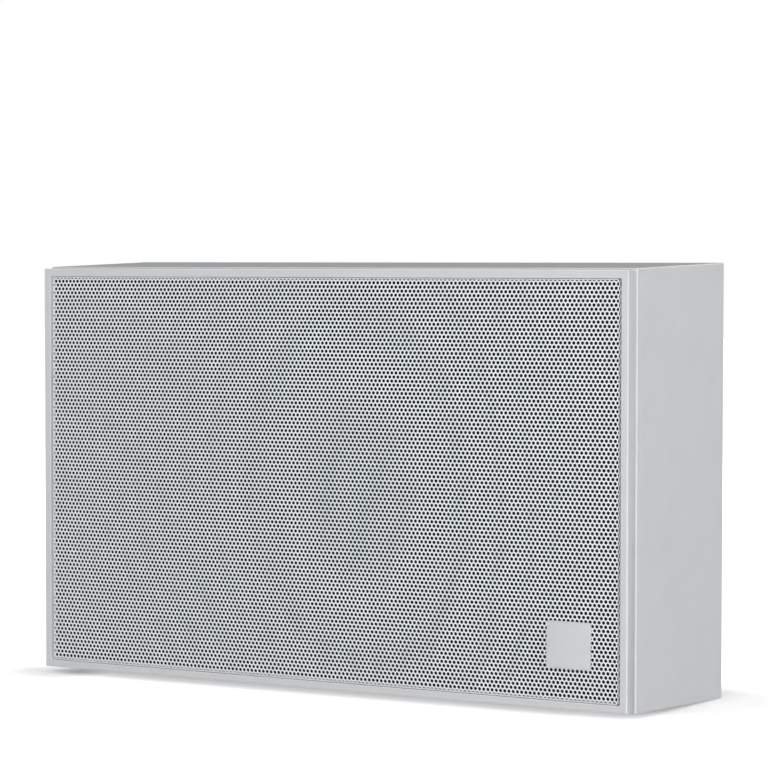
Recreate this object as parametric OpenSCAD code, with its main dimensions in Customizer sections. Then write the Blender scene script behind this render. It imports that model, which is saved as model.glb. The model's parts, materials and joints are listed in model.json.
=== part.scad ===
// Wall speaker: a moulded box that widens towards the wall, a front frame with a
// bowed perforated grille, and a full-range driver on a 100 V line transformer.
// Lengths are in millimetres. +Z is up, the front faces -Y and the wall face is Y = 0.
// Each piece is drawn lying on the wall, with its own z pointing into the room, and
// stand_up() then turns it upright.

/* [Housing] */
// Width of the housing where it meets the wall
wall_w = 302; // [300:1:306]
// Height of the housing where it meets the wall
wall_h = 187; // [185:1:190]
// Width of the housing at its front edge
mouth_w = 296.5; // [296:0.5:298]
// Height of the housing at its front edge
mouth_h = 182.5; // [182:0.5:184]
// Depth of the housing alone
housing_d = 77.2; // [76:0.1:80]
// Thickness of the moulded side walls
wall_t = 2.5; // [2:0.1:3]
// Thickness of the moulded back
back_t = 3; // [2.5:0.1:3]
// Rounding of the four edges that run from the wall to the front
corner_r = 0.6; // [0.4:0.1:3]

/* [Front frame and grille] */
// Width of the front frame
frame_w = 295; // [294:0.5:296]
// Height of the front frame
frame_h = 181; // [180:0.5:182]
// Depth of the band of the frame that shows
frame_d = 6.8; // [6:0.1:8]
// Width of the opening that the grille fills
opening_w = 288.5; // [288:0.1:289]
// Height of the opening that the grille fills
opening_h = 174; // [173.5:0.1:174.5]
// Gap between the grille and the frame at each side
side_gap = 1.05; // [0.3:0.05:1.5]
// Gap between the grille and the frame at the top and bottom
level_gap = 0.2; // [0.1:0.05:1]
// How far the rim of the grille lies behind the face of the frame
grille_set = 0.8; // [0.5:0.1:1.5]
// Thickness of the steel sheet of the grille
sheet_t = 0.5; // [0.4:0.1:1]
// Spacing of the openings, which stand for the fine perforation
hole_pitch = 12; // [12:0.5:16]
// Size of one opening as a share of the spacing
hole_share = 0.58; // [0.4:0.01:0.7]
// Width of the badge
badge_w = 20; // [16:0.1:24]
// Height of the badge
badge_h = 19.4; // [16:0.1:24]
// Badge centre, to the right of the middle
badge_x = 121.3; // [110:0.1:125]
// Badge centre, above the middle
badge_z = -63.8; // [-68:0.1:-55]

/* [Driver] */
// Outer radius of the basket's flange
flange_r = 66; // [65:0.5:68]
// Radius of the circle that the driver's screws stand on
driver_screw_ring = 61; // [60:0.5:62]
// Radius of the hole in the baffle in front of the cone
cutout_r = 57; // [56:0.1:57.5]
// Radius of the outer edge of the cone
cone_r = 48.7; // [48:0.1:49]
// Radius of the magnet
magnet_r = 35; // [33:0.5:38]

/* [Wall fixing] */
// Distance between the wall screws across the back
wall_screw_w = 260; // [250:1:262]
// Distance between the wall screws up the back
wall_screw_h = 124; // [118:1:128]
// Radius of the wall screw holes
wall_screw_r = 2.6; // [2:0.1:3]
// Radius of the cable hole in the grommet
cable_r = 4; // [3:0.5:5]

/* [Hidden] */
$fn = 48;
eps = 0.01;

// Depths measured from the wall
face_z = housing_d + frame_d;
grille_z = face_z - grille_set;
baffle_t = 3;
baffle_front = 75;
baffle_back = baffle_front - baffle_t;
tongue_end = 66;
tongue_slack = 0.2;
tongue_t = 1.5;
flange_front = baffle_back - 1.8;
flange_t = 1.2;

// Rounded edges of the mouldings
edge_r = 0.45;
frame_edge_r = 0.6;
edge_step = 15;

// Screw posts in the corners of the housing
corner_x = 134;
corner_y = 78;
post_r = 4.5;
screw_r = 1.6;
driver_screw_r = 1.5;
gusset_top = 60;

// Transformer and terminal block stand on short posts on the back
low_post_h = 6;
low_post_r = 3.5;
small_screw_r = 1.3;
trafo = [105, 30];
lamination_w = 48;
lamination_h = 40;
stack_t = 16;
leg_w = 8;
strap_t = 1;
foot_w = 13;
trafo_post_x = 31;
block = [105, -36];
block_size = [44, 20, 16];
ways = [-15, -5, 5, 15];
block_post_x = 10;
insert_r = 2.8;
insert_z = 12;
cable = [72, -66];

// Driver, front to back
spider_seat = 46.2;
top_plate_z = 29.8;
plate_t = 5;
magnet_t = 12;
pole_r = 12.5;
former_r = 13.05;
former_t = 0.25;
winding_t = 0.4;
neck_z = 53;
rim_z = flange_front - 4;
surround_t = 0.4;
spider_cup = 4.4;

// Wires inside the housing, and the tags on the driver that two of them start from
wire_r = 0.8;
wire_gap = 0.15;
tinsel_r = 0.5;
tag_end = 57.2;
tag_z = spider_seat + 1.75;

// Turns a piece drawn on the wall so that it stands upright
module stand_up() {
    rotate([90, 0, 0]) children();
}

// Rectangle with round corners, about the middle
module rounded(w, h, r) {
    square([w - 2 * r, h], center = true);
    square([w, h - 2 * r], center = true);
    for (x = [-1, 1], y = [-1, 1])
        translate([x * (w / 2 - r), y * (h / 2 - r)]) circle(r, $fn = 24);
}

// Thin slice of that rectangle at depth z, for hull
module slice(w, h, r, z) {
    translate([0, 0, z]) linear_extrude(eps) rounded(w, h, r);
}

// The same piece at each of the four quarters
module at_quarters(x, y) {
    for (i = [-1, 1], j = [-1, 1]) translate([i * x, j * y, 0]) children();
}

// Half of the housing's inner width or height, part way to the outside, at depth z
function wall_mid(at_wall, at_mouth, z) =
    (at_wall + (at_mouth - at_wall) * z / housing_d) / 2 - wall_t / 2;

// Housing

module housing_shape() {
    hull() {
        slice(wall_w, wall_h, corner_r, 0);
        for (a = [0 : edge_step : 90]) {
            inset = 2 * edge_r * (1 - cos(a));
            slice(mouth_w - inset, mouth_h - inset, corner_r,
                  housing_d - edge_r * (1 - sin(a)) - eps);
        }
    }
}

module housing_hollow() {
    hull() {
        slice(wall_w - 2 * wall_t, wall_h - 2 * wall_t, corner_r, back_t);
        slice(mouth_w - 2 * wall_t, mouth_h - 2 * wall_t, corner_r, housing_d + 1);
    }
}

// Web from a corner post to the side wall and to the top or bottom wall
module corner_webs() {
    at = [wall_mid(wall_w, mouth_w, back_t), wall_mid(wall_w, mouth_w, gusset_top)];
    up = [wall_mid(wall_h, mouth_h, back_t), wall_mid(wall_h, mouth_h, gusset_top)];
    for (i = [0, 1], j = [0, 1]) mirror([i, 0, 0]) mirror([0, j, 0]) {
        translate([0, corner_y + 1, 0]) rotate([90, 0, 0]) linear_extrude(2)
            polygon([[corner_x, back_t - 1], [at[0], back_t - 1],
                     [at[1], gusset_top], [corner_x, gusset_top]]);
        translate([corner_x - 1, 0, 0]) rotate([90, 0, 90]) linear_extrude(2)
            polygon([[corner_y, back_t - 1], [up[0], back_t - 1],
                     [up[1], gusset_top], [corner_y, gusset_top]]);
    }
}

// Ribs that stiffen the back behind the magnet
module back_ribs() {
    rib_t = 1.6;
    rib_h = 5;
    for (x = [-54, -18, 18, 54])
        translate([x - rib_t / 2, -80, back_t - 1]) cube([rib_t, 160, rib_h + 1]);
    for (y = [-44, 0, 44])
        translate([-54, y - rib_t / 2, back_t - 1]) cube([108, rib_t, rib_h + 1]);
}

module rear_housing() color("#c9cbcd") stand_up() {
    difference() {
        union() {
            difference() {
                housing_shape();
                housing_hollow();
            }
            at_quarters(corner_x, corner_y)
                translate([0, 0, back_t - 1]) cylinder(r = post_r, h = baffle_back - back_t + 1);
            corner_webs();
            back_ribs();
            at_quarters(wall_screw_w / 2, wall_screw_h / 2)
                translate([0, 0, back_t - 1]) cylinder(r = 6.5, h = 4);
            for (x = [-trafo_post_x, trafo_post_x])
                translate([trafo[0] + x, trafo[1], back_t - 1])
                    cylinder(r = low_post_r, h = low_post_h - back_t + 1);
            for (x = [-12, 12])
                translate([trafo[0] + x - 0.8, trafo[1] - stack_t / 2, back_t - 1])
                    cube([1.6, stack_t, low_post_h - back_t + 1]);
            for (x = [-block_post_x, block_post_x])
                translate([block[0] + x, block[1], back_t - 1])
                    cylinder(r = low_post_r, h = low_post_h - back_t + 1);
            translate([cable[0], cable[1], back_t - 1]) cylinder(r = 12, h = 2);
        }
        at_quarters(corner_x, corner_y)
            translate([0, 0, 58]) cylinder(r = screw_r, h = 20);
        at_quarters(wall_screw_w / 2, wall_screw_h / 2)
            translate([0, 0, -1]) cylinder(r = wall_screw_r, h = 10);
        for (x = [-trafo_post_x, trafo_post_x])
            translate([trafo[0] + x, trafo[1], 1.2]) cylinder(r = small_screw_r, h = 10);
        for (x = [-block_post_x, block_post_x])
            translate([block[0] + x, block[1], 1.2]) cylinder(r = small_screw_r, h = 10);
        translate([cable[0], cable[1], -1]) cylinder(r = 7, h = 10);
        translate([cable[0], cable[1], -1]) cylinder(r = 10, h = 2.5);
    }
}

// Front frame and what it carries

module frame_band() {
    hull() {
        slice(frame_w, frame_h, corner_r, housing_d);
        for (a = [0 : edge_step : 90]) {
            inset = 2 * frame_edge_r * (1 - cos(a));
            slice(frame_w - inset, frame_h - inset, corner_r,
                  face_z - frame_edge_r * (1 - sin(a)) - eps);
        }
    }
}

module front_frame() color("#cfd2d4") stand_up() {
    tongue_w = mouth_w - 2 * wall_t - 2 * tongue_slack;
    tongue_h = mouth_h - 2 * wall_t - 2 * tongue_slack;
    difference() {
        union() {
            difference() {
                union() {
                    frame_band();
                    translate([0, 0, tongue_end]) linear_extrude(housing_d - tongue_end + 1)
                        rounded(tongue_w, tongue_h, corner_r);
                }
                translate([0, 0, baffle_front]) linear_extrude(20)
                    rounded(opening_w, opening_h, 0.6);
                translate([0, 0, tongue_end - 1]) linear_extrude(baffle_back - tongue_end + 1)
                    rounded(tongue_w - 2 * tongue_t, tongue_h - 2 * tongue_t, 0.6);
            }
            // locating ring round the driver, and bosses for its screws
            translate([0, 0, baffle_back - 4]) difference() {
                cylinder(r = flange_r + 2.3, h = 5, $fn = 96);
                translate([0, 0, -1]) cylinder(r = flange_r + 0.3, h = 7, $fn = 96);
            }
            for (a = [45 : 90 : 315]) rotate(a) translate([driver_screw_ring, 0, 0])
                translate([0, 0, flange_front])
                    cylinder(r = 3.2, h = baffle_front + 2.5 - flange_front);
            // stiffening ribs on the back of the baffle
            for (x = [-84, 84])
                translate([x - 0.8, -80, baffle_back - 4]) cube([1.6, 160, 4.5]);
        }
        translate([0, 0, baffle_back - 1]) cylinder(r = cutout_r, h = 10, $fn = 96);
        for (a = [45 : 90 : 315]) rotate(a) translate([driver_screw_ring, 0, flange_front - 1])
            cylinder(r = driver_screw_r, h = 7.3);
        at_quarters(corner_x, corner_y)
            translate([0, 0, baffle_back - 1]) cylinder(r = screw_r + 0.2, h = 10);
        grille_tabs(0.2);
    }
}

// Tabs on the grille's lip, or with more room round them, the slots they pass through
module grille_tabs(room) {
    tab_w = 8;
    lip_y = opening_h / 2 - level_gap - sheet_t / 2;
    for (x = [-90, 0, 90], y = [-lip_y, lip_y])
        translate([x, y, baffle_back - 2])
            linear_extrude(baffle_t + 2 + 0.2 + room)
                square([tab_w + 2 * room, sheet_t + 2 * room], center = true);
}

// Staggered openings, rows lying level, kept inside the flat of the sheet
module perforation(w, h) {
    row_d = hole_pitch * sin(60);
    hole_r = hole_pitch * hole_share / 2;
    rows = floor((h / 2 - hole_r) / row_d);
    for (j = [-rows : rows]) {
        shift = j % 2 == 0 ? 0 : hole_pitch / 2;
        columns = floor((w / 2 - hole_r - shift) / hole_pitch);
        for (i = [-columns - (shift > 0 ? 1 : 0) : columns]) {
            x = i * hole_pitch + shift;
            y = j * row_d;
            under_badge = abs(x - badge_x) < badge_w / 2 + hole_r
                && abs(y - badge_z) < badge_h / 2 + hole_r;
            if (!under_badge) translate([x, y]) circle(hole_r, $fn = 6);
        }
    }
}

// The two pins that hold the badge, at its centre
module badge_pins(r, z, h) {
    for (x = [-5, 5]) translate([badge_x + x, badge_z, z]) cylinder(r = r, h = h, $fn = 24);
}

module grille() color("#dfe2e4") stand_up() {
    w = opening_w - 2 * side_gap;
    h = opening_h - 2 * level_gap;
    difference() {
        union() {
            translate([0, 0, grille_z - sheet_t]) linear_extrude(sheet_t) difference() {
                rounded(w, h, 0.8);
                perforation(w - 6, h - 6);
            }
            translate([0, 0, baffle_front]) linear_extrude(grille_z - sheet_t - baffle_front)
                difference() {
                    rounded(w, h, 0.8);
                    rounded(w - 2 * sheet_t, h - 2 * sheet_t, 0.4);
                }
            grille_tabs(0);
        }
        badge_pins(0.9, grille_z - sheet_t - 1, sheet_t + 2);
    }
}

module grille_cloth() color("#1c1d1f") stand_up() {
    cloth_t = 0.6;
    w = opening_w - 2 * side_gap - 2 * sheet_t - 0.4;
    h = opening_h - 2 * level_gap - 2 * sheet_t - 0.4;
    difference() {
        translate([0, 0, grille_z - sheet_t - cloth_t]) linear_extrude(cloth_t) rounded(w, h, 0.6);
        badge_pins(0.9, grille_z - sheet_t - cloth_t - 1, cloth_t + 2);
    }
}

module badge() color("#cfd2d4") stand_up() {
    badge_t = 1.2;
    bevel = 0.3;
    translate([badge_x, badge_z, grille_z]) linear_extrude(badge_t - bevel)
        rounded(badge_w, badge_h, 0.8);
    translate([badge_x, badge_z, grille_z + badge_t - bevel]) linear_extrude(bevel)
        rounded(badge_w - 2 * bevel, badge_h - 2 * bevel, 0.5);
    badge_pins(0.9, grille_z - sheet_t - 1.6, sheet_t + 1.6);
}

// Pan-head screw with a cross slot: z is the underside of the head
module pan_screw(shank_r, shank_l, head_r, head_h, z) {
    translate([0, 0, z]) difference() {
        union() {
            translate([0, 0, -shank_l]) cylinder(r = shank_r, h = shank_l);
            cylinder(r = head_r, h = head_h * 0.6);
            translate([0, 0, head_h * 0.6]) cylinder(r1 = head_r, r2 = head_r * 0.7, h = head_h * 0.4);
        }
        for (a = [0, 90]) rotate(a)
            translate([-head_r * 0.5, -0.35, head_h * 0.45]) cube([head_r, 0.7, head_h]);
    }
}

module frame_screws() color("#b8babc") stand_up() {
    at_quarters(corner_x, corner_y) pan_screw(screw_r, 13, 3.4, 2.2, baffle_front);
}

module cable_grommet() color("#26282a") stand_up() {
    translate([cable[0], cable[1], 0]) rotate_extrude()
        polygon([[cable_r, 0.2], [9.5, 0.2], [9.5, 1.5], [7, 1.5], [7, back_t + 1],
                 [9.5, back_t + 1], [9, back_t + 2.5], [cable_r, back_t + 2.5]]);
}

module damping_pad() color("#e6e6e2") stand_up() {
    translate([-101, 0, back_t]) linear_extrude(22) rounded(70, 96, 6);
}

// Driver

module driver_gasket() color("#2b2c2e") stand_up() {
    translate([0, 0, flange_front]) linear_extrude(baffle_back - flange_front) difference() {
        circle(flange_r - 0.5, $fn = 96);
        circle(cutout_r + 0.5, $fn = 96);
        for (a = [45 : 90 : 315]) rotate(a) translate([driver_screw_ring, 0]) circle(3.4);
    }
}

module driver_basket() color("#3a3c3f") stand_up() {
    back = flange_front - flange_t;
    seat = spider_seat;
    cup = top_plate_z + plate_t;
    difference() {
        union() {
            rotate_extrude($fn = 96) polygon([
                [flange_r, back], [flange_r, flange_front], [54.5, flange_front],
                [53.4, flange_front - 0.9], [40.6, seat + 1.4], [39.8, seat], [33.6, seat],
                [32.6, seat - 1], [31.2, cup + 1.2], [14.2, cup + 1.2], [14.2, cup],
                [32.3, cup], [33.8, seat - 1.2], [40.6, seat - 1.2], [41.9, seat + 0.6],
                [54.6, back]
            ]);
            // ear that carries the tag strip
            translate([38, -11, seat - flange_t]) cube([15.5, 22, flange_t]);
        }
        for (a = [0 : 90 : 270]) rotate(a)
            translate([34, -22, seat + 4.4]) cube([30, 44, 15]);
        for (a = [45 : 90 : 315]) rotate(a)
            translate([driver_screw_ring, 0, back - 1]) cylinder(r = 2.2, h = 4);
    }
}

// Half-roll edge: flat on the cone's rim, a leg up to the roll, flat on the basket's flange
module surround() color("#1e1f21") stand_up() {
    t = surround_t;
    roll_r = 3;
    roll_at = cone_r + roll_r;
    roll_z = flange_front + t;
    rotate_extrude($fn = 96) polygon(concat(
        [[cone_r - 2.2, rim_z], [cone_r - 2.2, rim_z + t], [cone_r - t, rim_z + t]],
        [for (a = [180 : -15 : 0])
            [roll_at + (roll_r + t) * cos(a), roll_z + (roll_r + t) * sin(a)]],
        [[57.2, roll_z], [57.2, flange_front], [roll_at + roll_r, flange_front]],
        [for (a = [0 : 15 : 180]) [roll_at + roll_r * cos(a), roll_z + roll_r * sin(a)]],
        [[cone_r, rim_z]]
    ));
}

// Corrugated, cupped disc that centres the coil: its inner end stands nearer the front
module spider() color("#b08a4a") stand_up() {
    t = 0.5;
    inner = former_r + former_t + 0.05;
    waves = 4;
    points_per_wave = 8;
    from = 15.5;
    to = 33;
    wave = [for (i = [0 : points_per_wave * waves]) let (share = i / (points_per_wave * waves))
        [from + (to - from) * share,
         spider_cup * (1 - share) + 0.8 * sin(360 * i / points_per_wave)]];
    rotate_extrude($fn = 96) translate([0, spider_seat]) polygon(concat(
        [[inner, spider_cup - 0.6], [inner, spider_cup + 0.8], [inner + 0.6, spider_cup + 0.8],
         [inner + 0.8, spider_cup + t]],
        [for (p = wave) [p[0], p[1] + t]],
        [[34, t], [38.5, t], [38.5, 0], [34, 0]],
        [for (i = [len(wave) - 1 : -1 : 0]) wave[i]]
    ));
}

// Depth of the front of the cone at radius r: steeper towards the neck
function cone_at(r) =
    neck_z + (rim_z - 0.3 - neck_z) * pow((r - former_r) / (46.5 - former_r), 0.85);

module cone() color("#2a2a2b") stand_up() {
    t = 0.8;
    inner = former_r + former_t;
    steps = 12;
    line = [for (i = [0 : steps]) let (r = inner + (46.5 - inner) * i / steps) [r, cone_at(r)]];
    rotate_extrude($fn = 96) polygon(concat(
        line,
        [[46.5, rim_z], [cone_r, rim_z], [cone_r, rim_z - t]],
        [for (i = [steps : -1 : 1]) [line[i][0], line[i][1] - t]],
        [[inner + 0.7, neck_z - 1.5], [inner, neck_z - 1.5]]
    ));
}

module whizzer_cone() color("#3a3835") stand_up() {
    inner = former_r + former_t;
    foot = cone_at(inner + 0.5) + 0.15;
    steps = 6;
    line = [for (i = [0 : steps]) let (s = i / steps)
        [inner + 0.5 + 11.5 * pow(s, 1.3), foot + 2 + 9.5 * s]];
    rotate_extrude($fn = 72) polygon(concat(
        [[inner, foot], [inner, foot + 2.4]],
        [for (p = line) [p[0] - 0.45, p[1] + 0.4]],
        [for (i = [steps : -1 : 0]) line[i]],
        [[inner + 0.5, foot]]
    ));
}

module dust_cap() color("#2a2a2b") stand_up() {
    rise = 4;
    r = former_r - 0.2;
    ball = (r * r + rise * rise) / (2 * rise);
    base = neck_z - 1;
    half = asin(r / ball);
    rotate_extrude($fn = 72) polygon(concat(
        [for (i = [0 : 8]) let (a = half * i / 8) [ball * sin(a), base + rise - ball * (1 - cos(a))]],
        [for (i = [8 : -1 : 0]) let (a = half * i / 8)
            [(ball - 0.4) * sin(a), base + rise - ball + (ball - 0.4) * cos(a)]]
    ));
}

module tube(inner, outer, z, h) {
    translate([0, 0, z]) rotate_extrude($fn = 96)
        translate([inner, 0]) square([outer - inner, h]);
}

module coil_former() color("#c8a25a") stand_up() {
    tube(former_r - 0.2, former_r + former_t, top_plate_z - 2, neck_z + 1.5 - top_plate_z + 2);
}

module coil_winding() color("#a8602a") stand_up() {
    outer = former_r + former_t;
    tube(outer, outer + winding_t, top_plate_z - 2, plate_t + 4);
}

module top_plate() color("#9fa2a5") stand_up() {
    tube(former_r + former_t + winding_t + 0.4, 32, top_plate_z, plate_t);
}

module magnet() color("#3b3b3d") stand_up() {
    tube(16, magnet_r, top_plate_z - magnet_t, magnet_t);
}

module yoke() color("#9fa2a5") stand_up() {
    bottom = top_plate_z - magnet_t - plate_t;
    rotate_extrude($fn = 96) polygon([
        [0, bottom], [31, bottom], [32, bottom + 1], [32, bottom + plate_t],
        [pole_r, bottom + plate_t], [pole_r, top_plate_z + plate_t - 0.6],
        [pole_r - 0.6, top_plate_z + plate_t], [0, top_plate_z + plate_t]
    ]);
}

module tag_strip() color("#8a5a34") stand_up() {
    translate([43.4, -10, spider_seat]) cube([9.5, 20, 1.5]);
}

module solder_tags() color("#d2b26a") stand_up() {
    for (y = [-5, 5]) translate([tag_end - 13, y, spider_seat + 1.5]) difference() {
        translate([0, -1.6, 0]) cube([13, 3.2, 0.5]);
        translate([11, 0, -1]) cylinder(r = 0.9, h = 3, $fn = 24);
    }
}

module driver_screws() color("#55585b") stand_up() {
    for (a = [45 : 90 : 315]) rotate(a) translate([driver_screw_ring, 0, 0])
        translate([0, 0, 2 * (flange_front - flange_t)]) mirror([0, 0, 1])
            pan_screw(driver_screw_r, 7.4, 3.6, 2.2, flange_front - flange_t);
}

// Line transformer

module at_trafo(z = low_post_h) {
    translate([trafo[0], trafo[1], z]) children();
}

module transformer_core() color("#6d6f72") stand_up() at_trafo() {
    window_h = lamination_h - 2 * leg_w;
    rotate([90, 0, 0]) translate([0, 0, -stack_t / 2]) linear_extrude(stack_t) difference() {
        translate([-lamination_w / 2, 0]) square([lamination_w, lamination_h]);
        for (x = [-1.5 * leg_w, 1.5 * leg_w])
            translate([x - leg_w / 2, leg_w]) square([leg_w, window_h]);
    }
}

module transformer_bobbin() color("#e8e2cf") stand_up() at_trafo(low_post_h + leg_w) {
    h = lamination_h - 2 * leg_w;
    difference() {
        union() {
            linear_extrude(h) square([18, 18], center = true);
            for (z = [0, h - 1.2]) translate([0, 0, z]) linear_extrude(1.2) rounded(31.8, 31, 2);
        }
        translate([0, 0, -1]) linear_extrude(h + 2) square([16, 16], center = true);
    }
}

module transformer_winding() color("#9c4a26") stand_up() at_trafo(low_post_h + leg_w + 1.2) {
    linear_extrude(lamination_h - 2 * leg_w - 2.4) difference() {
        rounded(30.8, 30, 4);
        square([18, 18], center = true);
    }
}

module transformer_bracket() color("#b4b7ba") stand_up() at_trafo() {
    side = lamination_w / 2;
    difference() {
        rotate([90, 0, 0]) translate([0, 0, -6]) linear_extrude(12) polygon([
            [-side - foot_w, 0], [-side, 0], [-side, lamination_h], [side, lamination_h],
            [side, 0], [side + foot_w, 0], [side + foot_w, strap_t], [side + strap_t, strap_t],
            [side + strap_t, lamination_h + strap_t], [-side - strap_t, lamination_h + strap_t],
            [-side - strap_t, strap_t], [-side - foot_w, strap_t]
        ]);
        for (x = [-trafo_post_x, trafo_post_x])
            translate([x, 0, -1]) cylinder(r = small_screw_r + 0.3, h = 3);
    }
}

module transformer_screws() color("#b8babc") stand_up() at_trafo(0) {
    for (x = [-trafo_post_x, trafo_post_x])
        translate([x, 0, 0]) pan_screw(small_screw_r, 5.2, 2.7, 1.8, low_post_h + strap_t);
}

// Terminal block

module at_block(z = 0) {
    translate([block[0], block[1], z]) children();
}

module terminal_block() color("#e9e9e6") stand_up() at_block() {
    difference() {
        translate([-block_size[0] / 2, -block_size[1] / 2, low_post_h]) cube(block_size);
        for (x = ways) {
            translate([x, 15, insert_z]) rotate([90, 0, 0]) cylinder(r = insert_r, h = 30);
            for (y = [-5, 5]) translate([x, y, insert_z]) cylinder(r = 2.2, h = 20);
        }
        for (x = [-block_post_x, block_post_x]) translate([x, 0, 0]) {
            cylinder(r = small_screw_r + 0.3, h = 40);
            translate([0, 0, low_post_h + block_size[2] - 4]) cylinder(r = 2.9, h = 10);
        }
        for (x = [-20, -10, 0, 10, 20])
            translate([x - 0.4, -block_size[1] / 2 - 1, low_post_h + block_size[2] - 2])
                cube([0.8, block_size[1] + 2, 4]);
    }
}

module terminal_inserts() color("#cfae5c") stand_up() at_block() {
    for (x = ways) translate([x, 0, insert_z]) difference() {
        translate([0, 9, 0]) rotate([90, 0, 0]) cylinder(r = insert_r, h = 18);
        translate([0, 15, 0]) rotate([90, 0, 0]) cylinder(r = 1.5, h = 30);
        for (y = [-5, 5]) translate([0, y, 0]) cylinder(r = small_screw_r, h = 10);
    }
}

module terminal_screws() color("#b8babc") stand_up() at_block() {
    for (x = ways, y = [-5, 5])
        translate([x, y, 0]) pan_screw(small_screw_r, 2.2, 1.9, 1.4, insert_z + insert_r + 0.6);
}

module terminal_block_screws() color("#b8babc") stand_up() at_block() {
    for (x = [-block_post_x, block_post_x]) translate([x, 0, 0])
        pan_screw(small_screw_r, low_post_h + block_size[2] - 4 - 1.8, 2.6, 1.8,
                  low_post_h + block_size[2] - 4);
}

// Wires: a round tube swept along a smooth curve through hand-picked points

function unit(v) = v / norm(v);

function curve_point(a, b, c, d, t) = 0.5 * (2 * b + (c - a) * t
    + (2 * a - 5 * b + 4 * c - d) * t * t + (3 * b - a - 3 * c + d) * t * t * t);

function smooth(p, n) = let (last = len(p) - 1) concat(
    [for (i = [0 : last - 1], k = [0 : n - 1])
        curve_point(p[max(i - 1, 0)], p[i], p[i + 1], p[min(i + 2, last)], k / n)],
    [p[last]]);

function headings(p) = [for (i = [0 : len(p) - 1])
    unit(p[min(i + 1, len(p) - 1)] - p[max(i - 1, 0)])];

// Sideways directions carried along the route so that the tube doesn't twist
function sides(h, start) = [for (i = 0, s = start; i < len(h);
    i = i + 1, s = i < len(h) ? unit(s - (s * h[i]) * h[i]) : s) unit(s - (s * h[i]) * h[i])];

module wire(route, r, start = [0, 1, 0]) {
    p = smooth(route, 4);
    h = headings(p);
    s = sides(h, start);
    n = 8;
    last = len(p) - 1;
    points = [for (i = [0 : last], k = [0 : n - 1])
        p[i] + r * (cos(360 * k / n) * s[i] + sin(360 * k / n) * cross(h[i], s[i]))];
    polyhedron(points, concat(
        [[for (k = [0 : n - 1]) n - 1 - k]],
        [for (i = [0 : last - 1], k = [0 : n - 1]) let (m = (k + 1) % n)
            [i * n + k, i * n + m, (i + 1) * n + m, (i + 1) * n + k]],
        [[for (k = [0 : n - 1]) last * n + k]]
    ));
}

// Height of the windings' lower side, where the wires start
winding_y = trafo[1] - 15 - wire_gap;
tap_z = [18, 22, 26];

module tap_wires() color("#c7a21f") stand_up() {
    for (i = [0 : 2]) {
        x = block[0] + ways[i];
        wire([[x, block[1] + 6, insert_z], [x, block[1] + 12, insert_z],
              [x + 1, block[1] + 22, insert_z + 2], [x + 5, -2, tap_z[i] - 4],
              [trafo[0] - 10 + 5 * i, winding_y - 6, tap_z[i]],
              [trafo[0] - 10 + 5 * i, winding_y, tap_z[i]]], wire_r, [1, 0, 0]);
    }
}

module common_wire() color("#2f5fa8") stand_up() {
    x = block[0] + ways[3];
    wire([[x, block[1] + 6, insert_z], [x, block[1] + 12, insert_z],
          [x, block[1] + 22, insert_z + 2], [x - 2, -2, 17],
          [trafo[0] + 11, winding_y - 6, 20], [trafo[0] + 11, winding_y, 20]],
         wire_r, [1, 0, 0]);
}

module driver_lead_red() color("#b5282a") stand_up() {
    wire([[tag_end + wire_gap, 5, tag_z], [tag_end + 6, 5, tag_z], [72, 5, 46], [82, 6, 40],
          [trafo[0] - 11, winding_y - 5, 33], [trafo[0] - 11, winding_y, 33]], wire_r);
}

module driver_lead_black() color("#242527") stand_up() {
    wire([[tag_end + wire_gap, -5, tag_z], [tag_end + 6, -5, tag_z], [74, -6, 46], [90, -6, 41],
          [trafo[0] + 5, winding_y - 6, 34], [trafo[0] + 5, winding_y, 34]], wire_r);
}

// Flexible braid from each tag through the basket's window to the back of the cone
module tinsel_leads() color("#c98f5a") stand_up() {
    join_r = 24;
    for (y = [-5, 5])
        wire([[45.2, y, spider_seat + 2.5], [45.1, y, spider_seat + 4.2], [43.6, y, spider_seat + 6.2],
              [38, y, spider_seat + 7], [31, y, spider_seat + 8],
              [join_r, y, cone_at(join_r) - 1.5]], tinsel_r);
}

rear_housing();
front_frame();
grille();
grille_cloth();
badge();
frame_screws();
cable_grommet();
damping_pad();
driver_gasket();
driver_basket();
surround();
spider();
cone();
whizzer_cone();
dust_cap();
coil_former();
coil_winding();
top_plate();
magnet();
yoke();
tag_strip();
solder_tags();
tinsel_leads();
driver_screws();
transformer_core();
transformer_bobbin();
transformer_winding();
transformer_bracket();
transformer_screws();
terminal_block();
terminal_inserts();
terminal_screws();
terminal_block_screws();
tap_wires();
common_wire();
driver_lead_red();
driver_lead_black();
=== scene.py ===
"""Looks of a wall speaker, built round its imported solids.

Lengths are in metres. +Z is up, the front faces -Y and the wall is the plane Y = 0.
"""

import json
import math

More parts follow.
